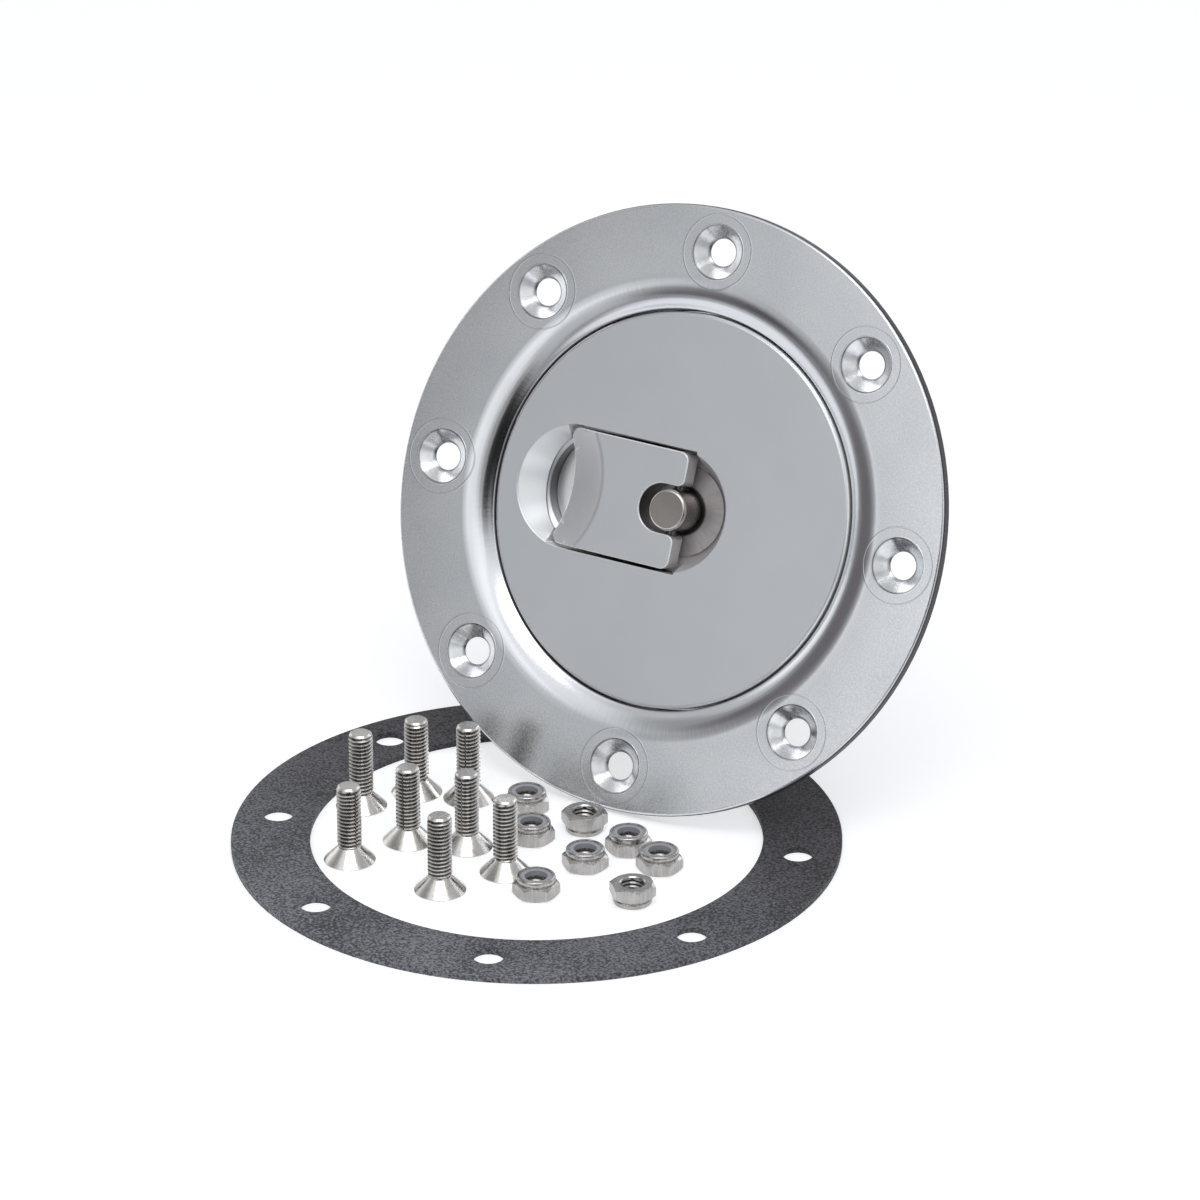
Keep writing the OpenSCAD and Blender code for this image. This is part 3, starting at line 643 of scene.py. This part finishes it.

# Panel gasket. Cut from a sheet of black rubber, dull and mottled. Its face carries a painted sheen that
# grows lighter towards the front, and it is darker to the back.
rubber, rubber_tree, rubber_skin = new_finish("gasket_rubber")
rubber_where = rubber_tree.nodes.new("ShaderNodeTexCoord").outputs["Object"]
rubber_fine, rubber_cloud = grain_node(rubber_tree, rubber_where, 1500.0, (1.0, 1.0, 1.0), 32.0)
rubber_mix = math_node(rubber_tree, "ADD", product(rubber_tree, rubber_fine, 0.78),
                       product(rubber_tree, rubber_cloud, 0.22))
# Painted sheen: the rubber is painted lighter towards the front and darker to the back.
front_sheen_y = (0.050, -0.085)
front_sheen = soft_step(rubber_tree, split_axes(rubber_tree, rubber_where)[1], *front_sheen_y)
rubber_dark = blend_colours(rubber_tree, front_sheen, (0.008, 0.006, 0.009), (0.045, 0.046, 0.053))
rubber_light = blend_colours(rubber_tree, front_sheen, (0.080, 0.072, 0.088), (0.26, 0.27, 0.295))
rubber_speckle = soft_step(rubber_tree, rubber_mix, 0.40, 0.61)
set_looks(rubber_tree, rubber_skin, {
    "Base Color": blend_colours(rubber_tree, rubber_speckle, rubber_dark, rubber_light),
    "Roughness": soft_step(rubber_tree, rubber_mix, 0.35, 0.7, 0.62, 0.44),
    "Specular IOR Level": 0.5})
bumped(rubber_tree, rubber_skin, rubber_fine, 0.5, 0.00012)
finish_node("panel_gasket", rubber)

# Flange screws. Stainless countersunk screws with rolled threads right down to the head. They stand
# on their heads inside the gasket, so the flat chamfered tips point up.
screw_r = 0.003
screw_root_r = 0.00248
screw_pitch = 0.001
screw_len = 0.020
screw_head_r = 0.0063
screw_edge = 0.00025


def thread_rows(low, high, crest, root, pitch, runout):
    """Rows that follow one thread: crest and root edges climb one pitch in each turn."""
    rows = []
    turns = int((high - low) / pitch) + 2
    for turn in range(-1, turns):
        for share, lift in ((0.10, 0.0), (0.45, 1.0), (0.55, 1.0), (0.90, 0.0)):
            def row(angle, base=turn + share, lift=lift):
                height = low + (base + angle / (2 * math.pi)) * pitch
                fade = min(1.0, max(0.0, (height - low) / runout), max(0.0, (high - height) / runout))
                height = min(high, max(low, height))
                return root + (crest - root) * (lift * fade + (1 - fade) * 0.55), height
            rows.append(row)
    return rows


# The colour of the painted shade in the screws' thread roots and the nuts' bores.
thread_shade_colour = (0.11, 0.10, 0.095)
screw_metal, screw_tree, screw_skin = new_finish("stainless_screw", 1.0)
screw_where = screw_tree.nodes.new("ShaderNodeTexCoord").outputs["Object"]
screw_grain, screw_cloud = grain_node(screw_tree, screw_where, 1200.0, (1.0, 1.0, 0.15), 220.0)
screw_tone = clouded(screw_tree, screw_cloud, (0.60, 0.575, 0.55), (0.72, 0.70, 0.67))
# The screws' thread roots are darkened by painted shade.
set_looks(screw_tree, screw_skin, {"Base Color": tone_under_painted_shade(screw_tree, screw_tone, thread_shade_colour),
                                   "Roughness": grained(screw_tree, screw_grain, 0.16, 0.30)})
bumped(screw_tree, screw_skin, screw_grain, 0.2, 0.00004)

screw_foot = screw_edge + screw_head_r - screw_root_r
socket_r = 0.002309 * 0.93
socket_deep = 0.0022
under_head = 0.0003
thread_foot = screw_foot - 0.0002
thread_end = screw_len - 0.0004
tip_r = 0.0023
tip_chamfer = 0.00015
screw_rows = [fixed(0.0, socket_deep), fixed(socket_r, socket_deep), fixed(socket_r, 0.0),
              fixed(screw_head_r, 0.0), fixed(screw_head_r, screw_edge),
              fixed(screw_root_r + under_head, screw_foot - under_head)]
screw_rows += thread_rows(thread_foot, thread_end, screw_r, screw_root_r, screw_pitch, runout=0.0007)
screw_rows += [fixed(tip_r + tip_chamfer, screw_len - tip_chamfer), fixed(tip_r, screw_len),
               fixed(0.0, screw_len)]


def screw_painted_shade(radius, height):
    """Painted shade in the thread's root, from the head to the tip."""
    threaded = screw_foot < height < screw_len - 0.0005
    return min(1.0, max(0.0, (screw_r - radius) / (screw_r - screw_root_r))) if threaded else 0.0


one_screw = ring_mesh("one_screw", screw_rows, 56, screw_metal, screw_painted_shade)

screw_spots = [(-46.6, -6.0), (-38.8, 7.2), (-26.0, 10.8), (-33.6, -32.0), (-26.7, -16.2), (-12.8, -11.5),
               (-6.4, -34.4), (2.4, -18.6)]
screw_places = [(x / 1000, y / 1000, 0.0, 0.0, 0.0) for x, y in screw_spots]
screws = spread_pieces("flange_screws_threaded", screw_places, one_screw, screw_metal, wobble_to=6.2)
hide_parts("flange_screws")
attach(screws, "housing")

# Lock nuts. Stainless hexagons with both faces chamfered, and a round collar rolled over a nylon ring that
# grips the screw's thread. They stand loose inside the gasket, two of them with the collar down.
nut_af = 0.010
nut_h = 0.0052
nut_hex_h = nut_h * 0.66
nut_bore_r = screw_r * 0.86
nut_cut_r = screw_r * 0.97
nut_foot_r = nut_af * 0.475
nut_collar_r = nut_af * 0.47
nut_neck_r = nut_af * 0.445
nut_insert_r = nut_af * 0.385


def hex_radius(angle):
    return nut_af / 2 / math.cos((angle % (math.pi / 3)) - math.pi / 6)


def hex_edge(height, meets, slope, inwards):
    """Where a chamfer cone that starts at radius `meets` cuts the hexagon's side."""
    def row(angle):
        radius = hex_radius(angle)
        return radius, height + inwards * max(0.0, radius - meets) * slope
    return row


def hex_lip(height, meets):
    return lambda angle: (min(meets, hex_radius(angle)), height)


def nut_painted_shade(radius, height):
    """Painted shade between the threads inside the bore, and on the rest of the bore's wall."""
    if radius >= nut_cut_r:
        return 0.7
    return min(1.0, max(0.0, (radius - nut_bore_r) / (nut_cut_r - nut_bore_r)))


bore_middle = nut_h * 0.30
bore_chamfer = 0.0003
collar_groove = 0.0002
nut_rows = [fixed(nut_cut_r, bore_middle), fixed(nut_cut_r, bore_chamfer),
            fixed(nut_cut_r + bore_chamfer, 0.0),
            hex_lip(0.0, nut_foot_r), hex_edge(0.0, nut_foot_r, slope=0.55, inwards=1.0),
            hex_edge(nut_hex_h, nut_collar_r, slope=0.60, inwards=-1.0), hex_lip(nut_hex_h, nut_collar_r),
            fixed(nut_neck_r, nut_hex_h), fixed(nut_neck_r, nut_hex_h + collar_groove)]
collar_wide = 0.0005
collar_high = 0.0006
collar_straight = 0.0004
collar_centre = nut_hex_h + 0.00075
for step in range(10):
    bend = math.radians(-60 + step * 15)
    nut_rows.append(fixed(nut_collar_r - collar_wide + collar_wide * math.cos(bend),
                          collar_centre + collar_high * math.sin(bend)
                          + (collar_straight if bend > 0 else 0.0)))
nut_rows += [fixed(nut_collar_r - 0.0008, nut_h - 0.00002), fixed(nut_insert_r, nut_h - 0.00012),
             fixed(nut_insert_r, nut_hex_h), fixed(nut_cut_r, nut_hex_h), fixed(nut_cut_r, bore_middle)]
nut_metal, nut_tree, nut_skin = new_finish("stainless_nut", 1.0)
nut_where = nut_tree.nodes.new("ShaderNodeTexCoord").outputs["Object"]
nut_grain, nut_cloud = grain_node(nut_tree, nut_where, 1600.0, (1.0, 1.0, 0.08), 260.0)
nut_mix = math_node(nut_tree, "ADD", product(nut_tree, nut_grain, 0.6), product(nut_tree, nut_cloud, 0.4))
nut_tone = blend_colours(nut_tree, soft_step(nut_tree, nut_mix, 0.36, 0.64), (0.38, 0.365, 0.355),
                         (0.56, 0.54, 0.525))
# The nuts' bores are darkened by painted shade.
set_looks(nut_tree, nut_skin, {"Base Color": tone_under_painted_shade(nut_tree, nut_tone, thread_shade_colour),
                               "Roughness": grained(nut_tree, nut_grain, 0.16, 0.34)})
bumped(nut_tree, nut_skin, nut_grain, 0.35, 0.00005)
one_nut = ring_mesh("one_nut", nut_rows, 96, nut_metal)
nut_spots = [(-10.7, 13.2, 10, 0), (-1.2, -0.4, 22, 0), (7.3, 10.6, 22, 1), (22.0, 6.7, 28, 0),
             (17.4, -6.2, 20, 0), (33.4, 2.0, 26, 0), (14.6, -24.6, 30, 0), (36.6, -16.4, 16, 1)]
nut_places = [(x / 1000, y / 1000, flipped * nut_h, math.radians(turn), flipped * math.pi)
              for x, y, turn, flipped in nut_spots]
nuts = spread_pieces("lock_nuts_turned", nut_places, one_nut, nut_metal)
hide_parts("lock_nuts")
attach(nuts, "housing")

thread_low = 0.0004
thread_high = nut_hex_h + 0.0001
nut_thread_rows = [fixed(nut_cut_r, thread_low)]
nut_thread_rows += thread_rows(thread_low, thread_high, nut_bore_r, nut_cut_r - 0.00002, screw_pitch,
                               runout=0.0004)
nut_thread_rows += [fixed(nut_cut_r, thread_high), fixed(nut_cut_r, thread_low)]
one_thread = ring_mesh("one_nut_thread", nut_thread_rows, 48, nut_metal, nut_painted_shade)
nut_threads = spread_pieces("lock_nut_threads", nut_places, one_thread, nut_metal)
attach(nut_threads, "housing")

nylon, nylon_tree, nylon_skin = new_finish("nylon_insert")
nylon_where = nylon_tree.nodes.new("ShaderNodeTexCoord").outputs["Object"]
nylon_fine, nylon_cloud = grain_node(nylon_tree, nylon_where, 700.0, (1.0, 1.0, 1.0), 300.0)
set_looks(nylon_tree, nylon_skin, {
    "Base Color": blend_colours(nylon_tree, nylon_cloud, (0.36, 0.365, 0.40), (0.44, 0.445, 0.485)),
    "Roughness": 0.42})
bumped(nylon_tree, nylon_skin, nylon_fine, 0.2, 0.00005)
finish_node("nut_inserts", nylon)
finish_node("stud_nut_insert", nylon)

# Lid. Matte aluminium, with a thin bright chamfer; the recess for the lever is milled into it, with a
# turned floor round the spindle and a polished scoop for the finger. The recess's walls beside the lever
# and the pocket's wall carry painted shade, and the scoop's corners beside the lever carry painted light.
lid_metal, lid_tree, lid_skin = new_finish("matte_lid", 1.0)
lid_axes = cap_coordinates(lid_tree)
lid_x, lid_y, lid_z = split_axes(lid_tree, lid_axes)
lid_radius = distance_node(lid_tree, lid_x, lid_y)
off_middle = math_node(lid_tree, "ABSOLUTE", lid_y)
lid_grain, lid_cloud = grain_node(lid_tree, lid_axes, 3000.0, (1.0, 1.0, 1.0), 50.0)
pocket_x = -0.0237
pocket_reach = distance_node(lid_tree, math_node(lid_tree, "SUBTRACT", lid_x, pocket_x), lid_y)
# Places and heights where a tone starts and where it is full
below_face_z = (-0.0021, -0.0024)
spindle_x = (-0.004, 0.001)
floor_wall_r = (0.0110, 0.0113)
bright_rim_r = (0.0480, 0.0483)
scoop_x = (-0.020, -0.026)
scoop_corner_x = (-0.0250, -0.0262)
scoop_corner_y = (0.0122, 0.0130)
pocket_inner_r = (0.0139, 0.01412)
pocket_outer_r = (0.0145, 0.01428)
pocket_z = (-0.0092, -0.0100)
gap_inner_y = (0.01475, 0.01490)
gap_outer_y = (0.01560, 0.01550)
gap_left_x = (-0.0275, -0.0255)
gap_right_x = (0.0, -0.003)
sunk = soft_step(lid_tree, lid_z, *below_face_z)
near_spindle = product(lid_tree, sunk, soft_step(lid_tree, lid_x, *spindle_x))
in_scoop = product(lid_tree, sunk, soft_step(lid_tree, lid_x, *scoop_x))
floor_wall = soft_step(lid_tree, lid_radius, *floor_wall_r)
pocket_wall = mask(lid_tree, (pocket_reach, *pocket_inner_r), (pocket_reach, *pocket_outer_r),
                   (lid_z, *pocket_z))
bright_rim = product(lid_tree, soft_step(lid_tree, lid_radius, *bright_rim_r), sunk)
# Painted light: the scoop's corners beside the lever are painted near white and made less metallic, over the
# shade that falls there.
scoop_corner = product(lid_tree, in_scoop, mask(
    lid_tree, (off_middle, *scoop_corner_y), (lid_x, *scoop_corner_x)))
gap_walls = product(lid_tree, sunk, mask(
    lid_tree, (off_middle, *gap_inner_y), (off_middle, *gap_outer_y), (lid_x, *gap_left_x),
    (lid_x, *gap_right_x)))
floor_marks = turning_marks(lid_tree, lid_x, lid_y, 9.0)
floor_tone = painted(
    lid_tree, blend_colours(lid_tree, floor_marks, (0.45, 0.425, 0.43), (0.49, 0.465, 0.47)),
    (floor_wall, (0.66, 0.63, 0.635)))
matte_dark = (0.66, 0.68, 0.71)
matte_light = (0.68, 0.70, 0.73)
# The pocket's wall and the gaps beside the lever are painted dark as shade.
lid_tone = painted(
    lid_tree, clouded(lid_tree, lid_cloud, matte_dark, matte_light),
    (near_spindle, floor_tone), (in_scoop, (0.93, 0.94, 0.96)), (pocket_wall, (0.22, 0.22, 0.23)),
    (bright_rim, (0.88, 0.89, 0.91)), (scoop_corner, (0.97, 0.97, 0.98)), (gap_walls, (0.03, 0.03, 0.035)))
sunk_rough = blend_values(lid_tree, sunk, grained(lid_tree, lid_grain, 0.40, 0.48), 0.36)
less_metal = math_node(lid_tree, "ADD", near_spindle, product(lid_tree, scoop_corner, 1.4))
set_looks(lid_tree, lid_skin, {
    "Base Color": lid_tone,
    "Roughness": blend_values(lid_tree, bright_rim, sunk_rough, 0.18),
    "Metallic": blend_values(lid_tree, less_metal, 1.0, 0.35)})
bumped(lid_tree, lid_skin, lid_grain, 0.10, 0.00003)
lid = smoothed_copy("lid_plate", "lid_plate_matte", lid_metal, bevel=0.00018)
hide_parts("lid_plate")
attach(lid, "lid")

# Lever. A forked aluminium lever, flush with the lid, with bright broken edges, bared metal with a painted
# highlight, and a bright scooped thumb end. The fork's ends are duller, and the slot and the sides below
# the face carry painted shade.
# The broken edges are bared metal with a painted highlight: near white and mostly not metallic, so they stay
# bright whichever way they face.
edge_metal_and_highlight, edge_tree, edge_skin = new_finish("bared_edge_painted_highlight", 0.15)
edge_grain, edge_cloud = grain_node(edge_tree, cap_coordinates(edge_tree), 1800.0, (1.0, 1.0, 1.0), 240.0)
set_looks(edge_tree, edge_skin, {
    "Base Color": clouded(edge_tree, edge_cloud, (0.90, 0.91, 0.92), (0.97, 0.975, 0.98)),
    "Roughness": grained(edge_tree, edge_grain, 0.22, 0.34)})
lever_metal, lever_tree, lever_skin = new_finish("matte_lever", 1.0)
lever_axes = cap_coordinates(lever_tree)
lever_grain, lever_cloud = grain_node(lever_tree, lever_axes, 2600.0, (1.0, 1.0, 1.0), 70.0)
lever_x, lever_y, lever_z = split_axes(lever_tree, lever_axes)
slot_end_x = -0.0025
# Places and heights where a tone starts and where it is full
thumb_x = (-0.0180, -0.0185)
thumb_z = (-0.00215, -0.00235)
fork_end_x = (-0.0060, -0.0040)
fork_end_z = (-0.00235, -0.00260)
slot_r = (0.00625, 0.00613)
slot_z = (-0.0022, -0.0026)
side_x = (-0.0040, -0.0060)
side_y = (0.01445, 0.01456)
side_z = (-0.0025, -0.0028)
past_slot_end = math_node(lever_tree, "MAXIMUM", math_node(lever_tree, "SUBTRACT", slot_end_x, lever_x), 0.0)
slot_reach = distance_node(lever_tree, past_slot_end, lever_y)
lever_off_middle = math_node(lever_tree, "ABSOLUTE", lever_y)
thumb_hollow = mask(lever_tree, (lever_z, *thumb_z), (lever_x, *thumb_x))
fork_ends = mask(lever_tree, (lever_x, *fork_end_x), (lever_z, *fork_end_z))
in_slot = mask(lever_tree, (slot_reach, *slot_r), (lever_z, *slot_z))
lever_sides = mask(lever_tree, (lever_off_middle, *side_y), (lever_x, *side_x), (lever_z, *side_z))
# The slot and the lever's sides below the face are painted dark as shade.
lever_tone = painted(
    lever_tree, clouded(lever_tree, lever_cloud, matte_dark, matte_light),
    (thumb_hollow, (0.93, 0.95, 0.975)), (fork_ends, (0.62, 0.60, 0.60)), (in_slot, (0.26, 0.25, 0.25)),
    (lever_sides, (0.04, 0.04, 0.045)))
set_looks(lever_tree, lever_skin, {
    "Base Color": lever_tone,
    "Metallic": blend_values(lever_tree, fork_ends, 1.0, 0.25),
    "Roughness": grained(lever_tree, lever_grain, 0.36, 0.46)})
bumped(lever_tree, lever_skin, lever_grain, 0.12, 0.00003)
lever = smoothed_copy("handle_lever", "handle_lever_matte", lever_metal, bevel=0.00025,
                      edge_finish=edge_metal_and_highlight)
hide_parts("handle_lever")
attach(lever, "lever")

# Spindle. Turned stainless, a warm grey, with a brighter broken edge; its stud takes a washer and a nut
# behind. The cross pin that carries the lever is dark with oil. The nut and washer, the plug's screws, the
# guide pins and the return spring are stainless too.
spindle_metal = plain_metal("turned_spindle", (0.30, 0.275, 0.26), (0.36, 0.335, 0.32), 0.26, 0.36, 3600.0,
                            (1.0, 1.0, 0.15), 0.08)
spindle_rim = plain_metal("turned_spindle_rim", (0.62, 0.605, 0.59), (0.74, 0.725, 0.71), 0.16, 0.24, 3600.0,
                          (1.0, 1.0, 0.15), 0.08)
spindle = smoothed_copy("spindle", "spindle_turned", spindle_metal, bevel=0.00022,
                        edge_finish=spindle_rim)
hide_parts("spindle")
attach(spindle, "draw_bar")
inner_metal = plain_metal("inner_stainless", (0.52, 0.51, 0.49), (0.62, 0.61, 0.59), 0.22, 0.34, 1300.0,
                          (1.0, 1.0, 0.15), 0.2)
pin_metal = plain_metal("oiled_pin", (0.10, 0.095, 0.09), (0.16, 0.15, 0.145), 0.26, 0.38, 1300.0,
                        (1.0, 1.0, 0.15), 0.2)
finish_node("cross_pin", pin_metal)
for node in ("plug_screws", "guide_pins", "return_spring", "stud_washer", "stud_nut"):
    finish_node(node, inner_metal)

# Wear plate. A thin steel washer that the lever's nose rolls on, rubbed in streaks round the spindle,
# with a ring of painted shade where it meets the spindle, for the dark gap round it.
wear_metal, wear_tree, wear_skin = new_finish("rubbed_wear_plate", 0.6)
wear_x, wear_y = split_axes(wear_tree, cap_coordinates(wear_tree))[:2]
wear_marks = turning_marks(wear_tree, wear_x, wear_y, 11.0)
# Painted shade: a dark ring round the spindle, where the gap beside it is in shade.
by_spindle_r = (0.0066, 0.0058)
spindle_gap_shade = soft_step(wear_tree, distance_node(wear_tree, wear_x, wear_y), *by_spindle_r)
wear_tone = painted(
    wear_tree, blend_colours(wear_tree, wear_marks, (0.41, 0.385, 0.39), (0.46, 0.435, 0.44)),
    (spindle_gap_shade, (0.02, 0.018, 0.018)))
set_looks(wear_tree, wear_skin, {
    "Base Color": wear_tone,
    "Roughness": soft_step(wear_tree, wear_marks, 0.0, 1.0, 0.40, 0.28)})
bumped(wear_tree, wear_skin, wear_marks, 0.15, 0.00004)
finish_node("wear_plate", wear_metal)

# Plug. The turned body behind the lid and the plate that the spindle draws up, with the rubber ring that
# they squeeze between them. The spindle slides in a bronze bush, and the smaller seals are rubber too.
plug_metal = plain_metal("turned_plug", (0.56, 0.565, 0.58), (0.64, 0.645, 0.66), 0.28, 0.38, 900.0,
                         (1.0, 1.0, 0.2), 0.25)
for node in ("plug_body", "pressure_plate"):
    finish_node(node, plug_metal)
seal_rubber, seal_tree, seal_skin = new_finish("seal_rubber")
seal_fine, seal_cloud = grain_node(seal_tree, cap_coordinates(seal_tree), 800.0, (1.0, 1.0, 1.0), 90.0)
set_looks(seal_tree, seal_skin, {
    "Base Color": blend_colours(seal_tree, seal_cloud, (0.015, 0.015, 0.016), (0.032, 0.032, 0.034)),
    "Roughness": 0.5})
bumped(seal_tree, seal_skin, seal_fine, 0.25, 0.00006)
for node in ("seat_washer", "plug_oring", "squeeze_ring", "spindle_oring"):
    finish_node(node, seal_rubber)
bush_metal = plain_metal("bronze_bush", (0.42, 0.27, 0.13), (0.52, 0.35, 0.18), 0.3, 0.42, 900.0,
                         (1.0, 1.0, 0.2), 0.2)
finish_node("spindle_bush", bush_metal)
